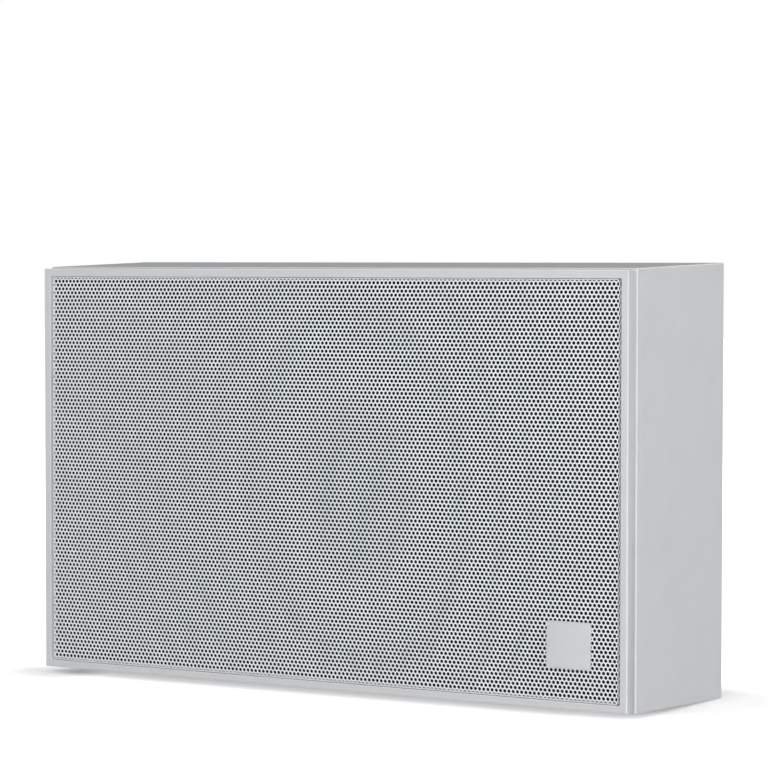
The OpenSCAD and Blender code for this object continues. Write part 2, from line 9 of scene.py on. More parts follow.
import bpy
import numpy as np
from bpy.props import FloatProperty, FloatVectorProperty, PointerProperty
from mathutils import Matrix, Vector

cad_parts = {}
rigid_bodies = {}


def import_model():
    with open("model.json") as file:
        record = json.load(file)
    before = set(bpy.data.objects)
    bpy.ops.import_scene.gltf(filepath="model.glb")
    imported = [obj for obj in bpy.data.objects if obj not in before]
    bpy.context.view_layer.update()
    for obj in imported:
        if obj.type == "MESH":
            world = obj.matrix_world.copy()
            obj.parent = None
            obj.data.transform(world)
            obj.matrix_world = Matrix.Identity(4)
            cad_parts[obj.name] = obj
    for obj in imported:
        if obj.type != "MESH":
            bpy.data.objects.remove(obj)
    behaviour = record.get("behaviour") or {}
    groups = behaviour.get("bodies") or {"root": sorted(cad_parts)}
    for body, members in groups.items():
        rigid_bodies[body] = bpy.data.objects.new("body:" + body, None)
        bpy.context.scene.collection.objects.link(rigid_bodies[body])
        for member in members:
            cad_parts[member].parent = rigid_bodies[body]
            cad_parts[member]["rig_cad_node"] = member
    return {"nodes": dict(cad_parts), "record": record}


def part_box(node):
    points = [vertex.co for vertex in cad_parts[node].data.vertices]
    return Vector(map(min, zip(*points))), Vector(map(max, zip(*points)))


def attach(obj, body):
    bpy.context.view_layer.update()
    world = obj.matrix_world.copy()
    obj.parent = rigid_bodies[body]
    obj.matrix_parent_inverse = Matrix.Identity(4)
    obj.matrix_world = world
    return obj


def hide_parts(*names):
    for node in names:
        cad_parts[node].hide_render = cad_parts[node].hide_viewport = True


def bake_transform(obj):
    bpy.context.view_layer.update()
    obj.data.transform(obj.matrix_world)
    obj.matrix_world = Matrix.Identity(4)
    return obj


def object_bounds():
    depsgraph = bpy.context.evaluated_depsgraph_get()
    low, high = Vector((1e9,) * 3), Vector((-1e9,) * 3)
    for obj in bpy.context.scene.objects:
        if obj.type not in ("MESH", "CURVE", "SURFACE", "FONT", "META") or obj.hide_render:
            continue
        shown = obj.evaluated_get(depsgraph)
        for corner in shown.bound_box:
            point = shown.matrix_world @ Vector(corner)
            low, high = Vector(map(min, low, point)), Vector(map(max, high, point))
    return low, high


bl_info = {
    "name": "Wall Speaker",
    "version": (1, 0, 0),
    "blender": (4, 5, 0),
    "location": "View3D > Sidebar > Speaker",
    "description": "Models the grille, mouldings, soft parts and finishes of a wall speaker",
    "category": "Add Mesh",
}

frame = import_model()
CAD_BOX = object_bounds()
CABINET = "cabinet"
COIL = "moving_coil"
MM = 0.001

GRILLE_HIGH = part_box("grille")[1]
CLOTH_LOW, CLOTH_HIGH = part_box("grille_cloth")
BADGE_LOW, BADGE_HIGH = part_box("badge")
PAD_LOW, PAD_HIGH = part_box("damping_pad")

# The grille's sheet: its front, the size of its bow and its pattern of holes
SHEET_FACE = -83.2 * MM
BOW_HALF = (144.4 * MM, 87.2 * MM)
FIRST_HOLE_X = -146.62 * MM
ROW_SHIFT = 0.087 * MM
HOLE_COLUMNS = 148
ROW_PAIRS = 53

# The first row of holes above each lower panel, counted from the middle
PANEL_ENDS = {"grille_panel_1": -26, "grille_panel_2": 1, "grille_panel_3": 27}

# The folded rim's back edge and its tabs
LIP_BACK = -75 * MM
TAB_END = -70 * MM
TAB_PLACES = (-90 * MM, 0, 90 * MM)
TAB_HALF = 4 * MM

# The frame's opening, and the depth at which its rim begins
OPENING_HALF = (144.5 * MM, 87.5 * MM)
OPENING_BOTTOM = -87 * MM
RIM_FRONT = -83.9 * MM

# The badge's corners and pins
BADGE_CORNER = 0.8 * MM
BADGE_TURN = math.radians(0.5)
PIN_PLACES = (-5 * MM, 5 * MM)
PIN_RADIUS = 0.9 * MM
PIN_LENGTH = 3 * MM
PIN_MIDDLE = 0.8 * MM

# Depths between which each soft part bends: at the cabinet's end and at the coil's
BENDS = {
    "surround": (-70.4 * MM, -66.8 * MM),
    "spider": (-47.0 * MM, -50.4 * MM),
    "tinsel_leads": (-50.5 * MM, -55.5 * MM),
}

# Name, place, point aimed at, diameter and watts of each lamp
LAMPS = (
    ("key_light", (0.55, -1.43, 0.30), (0.0, 0.0, 0.0), 1.0, 13.6),
    ("side_light", (1.7, -0.35, 0.15), (0.1, 0.0, 0.0), 0.8, 10.4),
    ("top_light", (-0.4, -1.0, 1.2), (0.0, 0.0, 0.0), 0.9, 2),
    ("rear_light", (0.1, 1.5, 0.15), (0.0, 0.0, 0.0), 0.8, 12),
    ("left_light", (-1.5, 0.1, 0.15), (-0.1, 0.0, 0.0), 0.8, 9),
)
# Middle, half size, reach and depth of the painted shadow in the floor's glow: under the object,
# at its right side and at its left end
FLOOR_SHADES = (
    ((-0.0145, -0.03, 0), (0.1235, 0.032, 9), (0.06, 0.06, 1), 0.52),
    ((0.16, -0.015, 0), (0.012, 0.025, 9), (0.035, 0.06, 1), 0.55),
    ((-0.15, -0.085, 0), (0.012, 0.008, 9), (0.02, 0.02, 1), 0.35),
)
FLOOR_SIZE = 12
FLOOR_GAP = 0.1 * MM
SOFT_LIGHT = 0.18
SOFT_TINT = (0.97, 0.985, 1, 1)

# The photograph's viewpoint, with its turn in degrees and its lens in millimetres
CAMERA_PLACE = (0.71106, -1.21938, 0.09244)
CAMERA_TURN = (87.8096, -0.0799, 30.8845)
CAMERA_LENS = 146.143
CAMERA_SENSOR = 36

UPRIGHT = (math.radians(90), 0, 0)
WELD = 0.01 * MM
WHITE = (1, 1, 1, 1)


def length(name, description, default):
    """One size that a user may change."""
    return FloatProperty(
        name=name, description=description, default=default, min=0.0,
        subtype="DISTANCE", unit="LENGTH", precision=5,
    )


def colour(name, description, default):
    """One colour that a user may change."""
    return FloatVectorProperty(
        name=name, description=description, default=default, size=3,
        min=0.0, max=1.0, subtype="COLOR",
    )


class WallSpeakerSizes(bpy.types.PropertyGroup):
    hole_pitch: length("Hole Pitch", "Distance between neighbouring holes", 2.0 * MM)
    hole_size: length("Hole Diameter", "Diameter of a punched hole", 1.65 * MM)
    sheet: length("Sheet Thickness", "Thickness of the steel of the grille", 0.4 * MM)
    fold: length("Fold Radius", "Outer radius of the fold round the rim of the grille", 0.6 * MM)
    corner: length("Corner Radius", "Radius of the corners of the grille", 1.0 * MM)
    lip: length("Punched Lip", "How much of the rim behind the fold is punched", 2.4 * MM)
    bow: length("Bow", "How far the middle of the grille stands proud of its rim", 2.4 * MM)
    play: length("Side Play", "How far the grille sits to the left in its opening", 0.45 * MM)
    spring: length("Side Spring", "How far the folded ends of the grille spring out", 0.2 * MM)
    drop: length("Drop", "How far the grille and the opening's lower edge hang down", 0.4 * MM)
    badge_edge: length("Badge Edge", "Rounding of the front edge of the badge", 0.3 * MM)
    opening_edge: length("Opening Edge", "Rounding of the edge of the frame's opening", 0.15 * MM)
    metal_edge: length("Metal Edge", "Rounding of the edges of turned metal parts", 0.3 * MM)


class WallSpeakerColours(bpy.types.PropertyGroup):
    housing: colour("Housing", "Moulded plastic of the housing and frame", (0.62, 0.63, 0.648))
    grille: colour("Grille", "Powder coat of the perforated sheet", (0.87, 0.883, 0.908))
    badge: colour("Badge", "Moulded plastic of the badge", (0.61, 0.622, 0.638))
    cloth: colour("Cloth", "Acoustic cloth behind the grille", (0.012, 0.012, 0.013))
    cone: colour("Cone", "Paper of the cone and dust cap", (0.022, 0.022, 0.024))
    floor: colour("Floor", "Plain floor of the studio", (0.80, 0.80, 0.80))


# Tools for modelling


def only(ob):
    """Selects one object and nothing else."""
    if bpy.context.object and bpy.context.object.mode != "OBJECT":
        bpy.ops.object.mode_set(mode="OBJECT")
    bpy.ops.object.select_all(action="DESELECT")
    ob.select_set(True)
    bpy.context.view_layer.objects.active = ob
    return ob


def named(name):
    """Names the object that was just added, and puts its place and size into its mesh."""
    ob = bpy.context.object
    ob.name = name
    ob.data.name = name
    only(ob)
    bpy.ops.object.transform_apply(location=True, rotation=True, scale=True)
    return ob


def modify(ob, kind, **settings):
    """Adds a modifier and applies it."""
    only(ob)
    mod = ob.modifiers.new(kind.title(), kind)
    for key, value in settings.items():
        setattr(mod, key, value)
    bpy.ops.object.modifier_apply(modifier=mod.name)
    return ob


def points(ob):
    """Places of the mesh's vertices, one row each."""
    co = np.empty(len(ob.data.vertices) * 3)
    ob.data.vertices.foreach_get("co", co)
    return co.reshape(-1, 3)


def put(ob, co):
    """Moves the mesh's vertices to these places."""
    ob.data.vertices.foreach_set("co", co.ravel())
    ob.data.update()


def edit(ob, kind="VERT", mask=None):
    """Opens edit mode with everything selected, or only the vertices, edges or faces in mask."""
    if mask is not None and not np.any(mask):
        raise RuntimeError("Nothing to select on " + ob.name)
    only(ob)
    bpy.ops.object.mode_set(mode="EDIT")
    bpy.ops.mesh.select_mode(type=kind)
    bpy.ops.mesh.select_all(action="SELECT" if mask is None else "DESELECT")
    if mask is not None:
        bpy.ops.object.mode_set(mode="OBJECT")
        parts = {"VERT": ob.data.vertices, "EDGE": ob.data.edges, "FACE": ob.data.polygons}[kind]
        parts.foreach_set("select", np.asarray(mask, bool))
        bpy.ops.object.mode_set(mode="EDIT")


def done():
    """Closes edit mode."""
    bpy.ops.object.mode_set(mode="OBJECT")


def edge_ends(ob):
    """Places of both ends of each edge."""
    pair = np.empty(len(ob.data.edges) * 2, np.int64)
    ob.data.edges.foreach_get("vertices", pair)
    co = points(ob)
    return co[pair[::2]], co[pair[1::2]]


def face_middles(ob):
    """Middle of each face."""
    mid = np.empty(len(ob.data.polygons) * 3)
    ob.data.polygons.foreach_get("center", mid)
    return mid.reshape(-1, 3)


def cut(ob, at, normal, clear=False):
    """Cuts the whole mesh by a plane, and with clear throws away what lies beyond it."""
    bpy.ops.mesh.select_all(action="SELECT")
    bpy.ops.mesh.bisect(plane_co=at, plane_no=normal, clear_outer=clear,
                        threshold=0.02 * MM)


def smooth(ob, degrees=35):
    """Shades smooth across edges flatter than this angle."""
    only(ob)
    bpy.ops.object.shade_smooth_by_angle(angle=math.radians(degrees))
    return ob


def copy_of(node):
    """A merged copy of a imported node's mesh as a piece of its own."""
    ob = bpy.data.objects.new(node + "_piece", frame["nodes"][node].data.copy())
    bpy.context.scene.collection.objects.link(ob)
    edit(ob)
    bpy.ops.mesh.remove_doubles(threshold=1e-6)
    done()
    return ob


def flatten_top_edge(ob, front):
    """Leans the rounding along the upper front edge forwards, so that it faces the room."""
    start, rounding, share = 89.8 * MM, 0.61 * MM, 0.3
    co = points(ob)
    depth = co[:, 1] - front
    upper = (co[:, 2] > start) & (depth < rounding)
    co[upper, 1] = front + depth[upper] * share
    put(ob, co)


def mark_edge_highlight_and_gloss(ob):
    """Marks the rounded edges of a moulding for a painted highlight, upper ones most, as light
    from above falls on them; the same mark makes them smoother.
    """
    normals = np.empty(len(ob.data.polygons) * 3)
    ob.data.polygons.foreach_get("normal", normals)
    normals = normals.reshape(-1, 3)
    rounded = np.abs(normals).max(axis=1) < 0.98
    least = 0.3
    # painted highlight, strongest on roundings that face up
    highlight_share = least + (1 - least) * normals[:, 2].clip(0)
    edge_mark = ob.data.attributes.new("edge_highlight_and_gloss", "FLOAT", "FACE")
    edge_mark.data.foreach_set("value", np.where(rounded, highlight_share, 0))


def bow_at(sizes, x, z):
    """How far the grille stands proud at a point of its face."""
    across = np.clip(1 - (x / BOW_HALF[0]) ** 4, 0, 1)
    up = np.clip(1 - (z / BOW_HALF[1]) ** 2, 0, 1)
    return sizes.bow * across * up


# Finishes


class Finish:
    """A principled material whose patterns lie in object coordinates, in metres."""

    def __init__(self, name, colour, roughness, **sockets):
        self.material = bpy.data.materials.new(name + "_finish")
        self.material.use_nodes = True
        self.tree = self.material.node_tree
        self.shader = self.tree.nodes["Principled BSDF"]
        self.colour = (*colour, 1.0)
        self.shader.inputs["Base Color"].default_value = self.colour
        self.shader.inputs["Roughness"].default_value = roughness
        for key, value in sockets.items():
            self.shader.inputs[key.replace("_", " ")].default_value = value
        self.place = self.add("ShaderNodeTexCoord").outputs["Object"]
        self.normal = None

    def add(self, kind, **settings):
        node = self.tree.nodes.new(kind)
        for key, value in settings.items():
            setattr(node, key, value)
        return node

    def link(self, source, target):
        self.tree.links.new(source, target)

    def stretched(self, scale):
        """Object coordinates, longer or shorter along each axis."""
        node = self.add("ShaderNodeMapping")
        node.inputs["Scale"].default_value = scale
        self.link(self.place, node.inputs["Vector"])
        return node.outputs["Vector"]

    def noise(self, scale, detail=2.0, rough=0.5, stretch=None):
        node = self.add("ShaderNodeTexNoise")
        node.inputs["Scale"].default_value = scale
        node.inputs["Detail"].default_value = detail
        node.inputs["Roughness"].default_value = rough
        self.link(self.stretched(stretch) if stretch else self.place, node.inputs["Vector"])
        return node.outputs["Fac"]

    def cells(self, scale):
        node = self.add("ShaderNodeTexVoronoi")
        node.inputs["Scale"].default_value = scale
        self.link(self.place, node.inputs["Vector"])
        return node.outputs["Distance"]

    def bands(self, period, axis, bend=0.0):
        """Even ridges, one each period along the axis."""
        node = self.add("ShaderNodeTexWave", wave_type="BANDS", bands_direction=axis)
        node.inputs["Scale"].default_value = math.pi / (10 * period)
        node.inputs["Distortion"].default_value = bend
        node.inputs["Detail"].default_value = 1.0
        node.inputs["Detail Scale"].default_value = 0.2
        self.link(self.place, node.inputs["Vector"])
        return node.outputs["Fac"]

    def rings(self, period):
        """Even ridges round the driver's axis."""
        node = self.add("ShaderNodeTexWave", wave_type="RINGS", rings_direction="Y")
        node.inputs["Scale"].default_value = math.pi / (10 * period)
        self.link(self.place, node.inputs["Vector"])
        return node.outputs["Fac"]

    def near(self, middle, half, reach):
        """1 in a box, fading to 0 at this reach outside it."""
        at = self.place
        steps = (("SUBTRACT", middle), ("ABSOLUTE", None), ("SUBTRACT", half),
                 ("MAXIMUM", (0, 0, 0)), ("DIVIDE", reach))
        for operation, value in steps:
            node = self.add("ShaderNodeVectorMath", operation=operation)
            self.link(at, node.inputs[0])
            if value:
                node.inputs[1].default_value = value
            at = node.outputs["Vector"]
        far = self.add("ShaderNodeVectorMath", operation="LENGTH")
        self.link(at, far.inputs[0])
        fade = self.add("ShaderNodeMapRange", interpolation_type="SMOOTHSTEP")
        fade.inputs["To Min"].default_value = 1
        fade.inputs["To Max"].default_value = 0
        self.link(far.outputs["Value"], fade.inputs["Value"])
        return fade.outputs["Result"]

    def combine(self, operation, a, b):
        node = self.add("ShaderNodeMath", operation=operation)
        self.link(a, node.inputs[0])
        self.link(b, node.inputs[1])
        return node.outputs[0]

    def scaled(self, pattern, low, high):
        """The pattern's middle range, spread from low to high."""
        node = self.add("ShaderNodeMapRange")
        node.inputs["From Min"].default_value = 0.3
        node.inputs["From Max"].default_value = 0.7
        node.inputs["To Min"].default_value = low
        node.inputs["To Max"].default_value = high
        self.link(pattern, node.inputs["Value"])
        return node.outputs["Result"]

    def tint(self, pattern, dark, light=1.0):
        """The base colour, times dark to light along the pattern."""
        mix = self.add("ShaderNodeMix", data_type="RGBA")
        mix.inputs["A"].default_value = (*(c * dark for c in self.colour[:3]), 1.0)
        mix.inputs["B"].default_value = (*(min(c * light, 1) for c in self.colour[:3]), 1.0)
        self.link(self.scaled(pattern, 0, 1), mix.inputs["Factor"])
        self.link(mix.outputs["Result"], self.shader.inputs["Base Color"])
        return self

    def highlight_and_gloss_edges(self, light, roughness):
        """Painted highlight: a lighter base colour where the mesh's edge_highlight_and_gloss
        attribute says so, and smoother roughness there.
        """
        edge_mark = self.add("ShaderNodeAttribute", attribute_name="edge_highlight_and_gloss").outputs["Fac"]
        for key, value in (("Base Color", light), ("Roughness", roughness)):
            socket = self.shader.inputs[key]
            before = socket.links[0].from_socket
            if key == "Base Color":
                mix = self.add("ShaderNodeMix", data_type="RGBA")
                value = (*(min(c * light, 1) for c in self.colour[:3]), 1.0)
            else:
                mix = self.add("ShaderNodeMix", data_type="FLOAT")
            sockets = [s for s in mix.inputs if s.enabled]
            self.link(edge_mark, sockets[0])
            self.link(before, sockets[1])
            sockets[2].default_value = value
            self.link(next(s for s in mix.outputs if s.enabled), socket)
        return self

    def sheen(self, pattern, low, high):
        """Roughness from low to high along the pattern."""
        self.link(self.scaled(pattern, low, high), self.shader.inputs["Roughness"])
        return self

    def bump(self, pattern, height, strength=1.0):
        """Raises the surface along the pattern, on top of earlier bumps."""
        node = self.add("ShaderNodeBump")
        node.inputs["Distance"].default_value = height
        node.inputs["Strength"].default_value = strength
        self.link(pattern, node.inputs["Height"])
        if self.normal:
            self.link(self.normal, node.inputs["Normal"])
        self.normal = node.outputs["Normal"]
        self.link(self.normal, self.shader.inputs["Normal"])
        return self


def moulded(name, colour, roughness=0.75, grain=0.00002):
    """Moulded plastic with the fine texture of a spark-eroded tool."""
    f = Finish(name, colour, roughness, Specular_IOR_Level=0.2)
    f.tint(f.noise(90, 4), 0.985, 1.015)
    f.sheen(f.noise(400, 3), roughness - 0.04, roughness + 0.06)
    # painted highlight on the rounded edges, upper ones lightest, with smoother roughness there
    f.highlight_and_gloss_edges(1.7, 0.4)
    f.bump(f.noise(2600, 2, 0.6), grain)
    f.bump(f.noise(60, 1), 0.0001, 0.4)
    return f.material


def powder_coat(name, colour):
    """Satin paint with a slight orange peel, over punched steel."""
    f = Finish(name, colour, 0.38, Specular_IOR_Level=0.5)
    f.tint(f.noise(70, 3), 0.985, 1.01)
    f.sheen(f.noise(500, 2), 0.33, 0.45)
    f.bump(f.noise(900, 2), 0.00002)
    return f.material


def plated(name, colour, roughness, grain_axis=None):
    """Plated or bare metal with fine scratches and a cloudy shine."""
    f = Finish(name, colour, roughness, Metallic=1.0)
    stretch = {"X": (60, 1200, 1200), "Y": (1200, 60, 1200), "Z": (1200, 1200, 60)}
    scratches = f.noise(1, 3, 0.6, stretch[grain_axis]) if grain_axis else f.noise(900, 4)
    f.tint(f.noise(120, 4), 0.9, 1.05)
    f.sheen(scratches, roughness - 0.08, roughness + 0.12)
    f.bump(scratches, 0.00001)
    return f.material


def turned(name, colour, roughness):
    """Plated steel with the fine rings that turning leaves."""
    f = Finish(name, colour, roughness, Metallic=1.0)
    f.tint(f.noise(150, 4), 0.88, 1.06)
    f.sheen(f.noise(600, 3), roughness - 0.08, roughness + 0.14)
    f.bump(f.rings(0.00025), 0.000006)
    return f.material


def painted(name, colour, roughness=0.4):
    """Gloss paint over pressed steel."""
    f = Finish(name, colour, roughness)
    f.tint(f.noise(160, 4), 0.8, 1.3)
    f.sheen(f.noise(500, 3), roughness - 0.08, roughness + 0.1)
    f.bump(f.noise(700, 3), 0.00002)
    return f.material


def woven(name, colour, thread, height, roughness=0.95):
    """Plain weave, with threads along X and Z."""
    f = Finish(name, colour, roughness, Specular_IOR_Level=0.2)
    warp = f.bands(thread, "X", 0.4)
    weft = f.bands(thread, "Z", 0.4)
    weave = f.combine("MULTIPLY", warp, weft)
    fuzz = f.noise(3000, 3, 0.7)
    f.tint(f.combine("ADD", weave, fuzz), 0.5, 1.4)
    f.bump(weave, height)
    f.bump(fuzz, height * 0.3)
    return f.material


def pressed_paper(name, colour, roughness=0.85, spread=(0.75, 1.3)):
    """Felted paper pulp with fibres and faint press rings."""
    f = Finish(name, colour, roughness)
    fibres = f.noise(1, 5, 0.7, (900, 2600, 900))
    f.tint(f.combine("MULTIPLY", fibres, f.noise(240, 3)), *spread)
    f.sheen(fibres, roughness - 0.1, roughness + 0.1)
    f.bump(fibres, 0.00008)
    f.bump(f.rings(0.0028), 0.00006, 0.5)
    return f.material


def pressed_fibre(name, colour, thread):
    """Resin-stiffened open cloth of the spider."""
    f = Finish(name, colour, 0.7)
    weave = f.combine("MULTIPLY", f.bands(thread, "X", 0.3), f.bands(thread, "Z", 0.3))
    f.tint(f.combine("ADD", weave, f.noise(300, 3)), 0.6, 1.15)
    f.bump(weave, 0.00015)
    return f.material


def wound(name, colour, wire, metallic=1.0, roughness=0.3, axis="Y"):
    """Turns of enamelled wire or layers of tape lying side by side."""
    f = Finish(name, colour, roughness, Metallic=metallic)
    turns = f.bands(wire, axis, 0.15)
    f.tint(f.combine("ADD", turns, f.noise(200, 3)), 0.6, 1.15)
    f.sheen(f.noise(500, 3), roughness - 0.06, roughness + 0.12)
    f.bump(turns, wire * 0.25)
    return f.material


def ferrite(name, colour):
    """Ground ceramic magnet: dull, finely pitted."""
    f = Finish(name, colour, 0.6)
    pits = f.cells(900)
    f.tint(f.combine("MULTIPLY", pits, f.noise(150, 5)), 0.7, 1.6)
    f.sheen(f.noise(700, 4), 0.5, 0.75)
    f.bump(pits, 0.00004)
    return f.material


def laminated(name, colour, sheet):
    """Stack of varnished transformer stampings, one on another along Z."""
    f = Finish(name, colour, 0.45, Metallic=0.8)
    seams = f.bands(sheet, "Z", 0.1)
    f.tint(f.combine("ADD", seams, f.noise(260, 4)), 0.45, 1.15)
    f.sheen(f.noise(400, 4), 0.35, 0.6)
    f.bump(seams, sheet * 0.2)
    return f.material


def board(name, colour):
    """Paper-resin board of the tag strip, with pale fibres at the surface."""
    f = Finish(name, colour, 0.5)
    fibres = f.noise(1, 4, 0.6, (400, 2000, 2000))
    f.tint(fibres, 0.7, 1.2)
    f.bump(fibres, 0.00003)
    return f.material


def rubbery(name, colour, roughness=0.7, scale=1200, depth=0.00004):
    """Rubber, foam or soft plastic with a fine open texture."""
    f = Finish(name, colour, roughness)
    skin = f.noise(scale, 4, 0.6)
    f.tint(f.combine("MULTIPLY", skin, f.noise(200, 2)), 0.8, 1.25)
    f.sheen(skin, roughness - 0.1, min(roughness + 0.1, 1.0))
    f.bump(skin, depth)
    return f.material


def fleece(name, colour):
    """Bonded polyester wadding: a tangle of fine fibres."""
    f = Finish(name, colour, 1.0, Sheen_Weight=0.6)
    tangle = f.noise(1, 6, 0.75, (500, 1400, 900))
    lumps = f.noise(160, 3)
    f.tint(f.combine("MULTIPLY", tangle, lumps), 0.7, 1.1)
    f.bump(tangle, 0.0006)
    f.bump(lumps, 0.0008)
    return f.material


def insulated(name, colour):
    """Soft insulation of a hook-up wire."""
    f = Finish(name, colour, 0.4)
    f.tint(f.noise(500, 3), 0.85, 1.1)
    f.sheen(f.noise(900, 2), 0.32, 0.5)
    f.bump(f.noise(1500, 3), 0.00002)
    return f.material


def make_finishes(c):
    """One material for each slot of the part's record."""
    return {
        "housing_plastic": moulded("housing_plastic", c.housing),
        "badge_plastic": moulded("badge_plastic", c.badge, 0.7, 0.00001),
        "grille_steel": powder_coat("grille_steel", c.grille),
        "cloth": woven("cloth", c.cloth, 0.0005, 0.0001),
        "zinc_steel": turned("zinc_steel", (0.62, 0.62, 0.60), 0.32),
        "black_rubber": rubbery("black_rubber", (0.018, 0.018, 0.019)),
        "wadding": fleece("wadding", (0.78, 0.78, 0.75)),
        "foam": rubbery("foam", (0.03, 0.03, 0.032), 0.95, 1800, 0.0003),
        "basket_steel": painted("basket_steel", (0.035, 0.036, 0.038)),
        "surround_cloth": woven("surround_cloth", (0.02, 0.02, 0.022), 0.0007, 0.00012, 0.6),
        "spider_cloth": pressed_fibre("spider_cloth", (0.50, 0.30, 0.10), 0.0008),
        "cone_paper": pressed_paper("cone_paper", c.cone),
        "former_paper": pressed_paper("former_paper", (0.55, 0.36, 0.14), 0.6, (0.85, 1.1)),
        "coil_copper": wound("coil_copper", (0.62, 0.24, 0.09), 0.0004),
        "ferrite": ferrite("ferrite", (0.028, 0.028, 0.03)),
        "phenolic": board("phenolic", (0.26, 0.12, 0.05)),
        "tinned_brass": plated("tinned_brass", (0.72, 0.55, 0.28), 0.3, "X"),
        "core_steel": laminated("core_steel", (0.22, 0.22, 0.23), 0.0005),
        "bobbin_nylon": moulded("bobbin_nylon", (0.72, 0.68, 0.56), 0.45),
        "winding_tape": wound("winding_tape", (0.36, 0.15, 0.04), 0.004, 0.0, 0.35),
        "terminal_plastic": moulded("terminal_plastic", (0.78, 0.78, 0.75), 0.4),
        "wire_yellow": insulated("wire_yellow", (0.62, 0.42, 0.02)),
        "wire_blue": insulated("wire_blue", (0.03, 0.10, 0.42)),
        "wire_red": insulated("wire_red", (0.50, 0.02, 0.02)),
        "wire_black": insulated("wire_black", (0.015, 0.015, 0.016)),
    }


def white_rays(tree):
    """1 for the rays that show the white surroundings, 0 for those that light the object."""
    rays = tree.nodes.new("ShaderNodeLightPath")
    shown = rays.outputs["Is Camera Ray"]
    for ray in ("Is Glossy Ray", "Is Transmission Ray"):
        either = tree.nodes.new("ShaderNodeMath")
        either.operation = "MAXIMUM"
        tree.links.new(shown, either.inputs[0])
        tree.links.new(rays.outputs[ray], either.inputs[1])
        shown = either.outputs[0]
    return shown


def dress(ob, slot):
    """Gives a piece the finish of a slot of the record."""
    ob.data.materials.clear()
    ob.data.materials.append(bpy.data.materials[slot + "_finish"])
    return ob


def slot_of(node):
    """The record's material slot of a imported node."""
    return next(p["material_slot"] for p in frame["record"]["subparts"] if p["node"] == node)


# Grille


def row_step(sizes):
    """Height from one row of holes to the next."""
    return sizes.hole_pitch * math.sin(math.radians(60))


def punched_sheet(sizes):
    """Flat perforated sheet: one cell is punched, doubled with half a step, then repeated."""
    pitch = sizes.hole_pitch
    row = row_step(sizes)
    first = (FIRST_HOLE_X, SHEET_FACE, -(ROW_PAIRS - 1) * row - ROW_SHIFT)
    bpy.ops.mesh.primitive_plane_add(size=1, rotation=UPRIGHT)
    bpy.context.object.scale = (pitch, row, 1)
    sheet = named("grille_sheet")
    edit(sheet)
    bpy.ops.mesh.subdivide(number_cuts=1)
    done()
    edit(sheet, "VERT", np.linalg.norm(points(sheet), axis=1) < WELD)
    bpy.ops.mesh.dissolve_verts()
    done()
    edit(sheet, "FACE")
    bpy.ops.mesh.inset(thickness=0.3 * MM)
    bpy.ops.transform.tosphere(value=1.0)
    bpy.ops.mesh.delete(type="ONLY_FACE")
    done()
    co = points(sheet)
    reach = np.hypot(co[:, 0], co[:, 2])
    inner = reach < 0.42 * pitch  # the ring round the hole, not the cell's own edge
    co[inner] *= (sizes.hole_size / 2 / reach[inner])[:, None]
    put(sheet, co)
    edit(sheet)
    bpy.ops.mesh.duplicate_move(TRANSFORM_OT_translate={"value": (pitch / 2, 0, row)})
    done()
    sheet.location = first
    bpy.ops.object.transform_apply(location=True)
    for count, step in ((HOLE_COLUMNS, (pitch, 0, 0)), (ROW_PAIRS, (0, 0, 2 * row))):
        modify(sheet, "ARRAY", count=count, use_relative_offset=False, use_constant_offset=True,
               constant_offset_displace=step, use_merge_vertices=True, merge_threshold=WELD)
    edit(sheet)
    bpy.ops.mesh.remove_doubles(threshold=WELD)
    done()
    return sheet


def blank_half(sizes):
    """Half the width and half the height of the folded grille."""
    return GRILLE_HIGH.x + sizes.spring, GRILLE_HIGH.z + sizes.drop / 2


def trim_sheet(ob, sizes):
    """Cuts the sheet to its blank, and scores it where the fold will be rounded."""
    half = blank_half(sizes)
    arc = sizes.fold * math.pi / 2
    edit(ob)
    for axis in (0, 2):
        flat = half[axis // 2] - sizes.fold
        for side in (-1, 1):
            normal = [0, 0, 0]
            normal[axis] = side
            for reach in (0, arc / 3, arc * 2 / 3, arc, arc + sizes.lip):
                at = [-sizes.play, SHEET_FACE, -sizes.drop / 2]
                at[axis] += side * (flat + reach)
                cut(ob, at, normal, clear=reach > arc)
    inner = (half[0] - sizes.corner, half[1] - sizes.corner)
    reach = sizes.corner - sizes.fold + arc + sizes.lip
    for turn in (22.5, 45, 67.5):
        across, up = math.cos(math.radians(turn)), math.sin(math.radians(turn))
        for i in (-1, 1):
            for j in (-1, 1):
                normal = (i * across, 0, j * up)
                at = (i * (inner[0] + reach * across) - sizes.play, SHEET_FACE,
                      j * (inner[1] + reach * up) - sizes.drop / 2)
                cut(ob, at, normal, clear=True)
    done()


def press_sheet(ob, sizes):
    """Folds the blank round its rim and bows its face."""
    co = points(ob)
    flat = co[:, (0, 2)] + (sizes.play, sizes.drop / 2)
    limit = np.array(blank_half(sizes)) - sizes.corner
    core = np.clip(flat, -limit, limit)
    out = flat - core
    reach = np.linalg.norm(out, axis=1)
    start = sizes.corner - sizes.fold
    angle = np.clip((reach - start) / sizes.fold, 0, math.pi / 2)
    behind = np.clip(reach - start - sizes.fold * math.pi / 2, 0, sizes.lip)
    over = reach > start
    bent = np.where(over, start + sizes.fold * np.sin(angle), reach)
    flat = core + out * (bent / np.maximum(reach, 1e-9))[:, None]
    flat -= (sizes.play, sizes.drop / 2)
    co[:, 0], co[:, 2] = flat[:, 0], flat[:, 1]
    co[:, 1] = SHEET_FACE + sizes.fold * (1 - np.cos(angle)) + behind
    co[:, 1] -= bow_at(sizes, co[:, 0], co[:, 2])
    put(ob, co)


